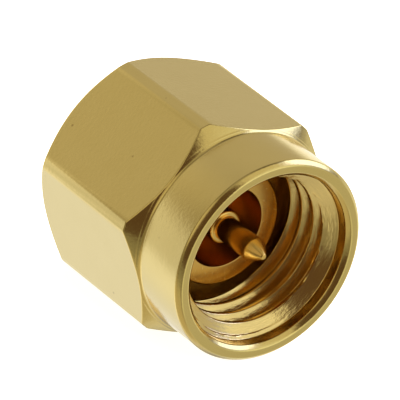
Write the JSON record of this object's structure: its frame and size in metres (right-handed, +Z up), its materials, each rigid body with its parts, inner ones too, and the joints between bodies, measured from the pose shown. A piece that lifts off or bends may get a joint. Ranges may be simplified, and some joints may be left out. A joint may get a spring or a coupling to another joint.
{
  "type": "coaxial connector shorting dust cap",
  "caption": "Gold-plated hex coupling-nut cap that screws over a small coaxial jack, covers it and shorts its centre contact to its shell.",
  "frame": {"origin": "on the floor under the middle of the cap's box, where the cap lies on one flat of its hex", "axes": "-Y along the cap's axis, out of its mouth; +Z up, square to the hex flat that it lies on"},
  "size_m": [0.009, 0.0086, 0.0079],
  "materials": {
    "nut_gold": "turned brass, gold plated, satin",
    "body_gold": "turned brass, gold plated",
    "pin_gold": "turned copper alloy, gold plated, bright",
    "spring_alloy": "bare spring copper alloy"
  },
  "bodies": {
    "plug": {"contact_body": "body_gold", "centre_pin": "pin_gold", "retaining_ring": "spring_alloy"},
    "nut": {"coupling_nut": "nut_gold"}
  },
  "joints": [
    {"name": "nut_turn", "type": "hinge", "parent": "plug", "child": "nut", "pos_m": [0, 0, 0.00397], "axis": [0, -1, 0], "continuous": true}
  ]
}
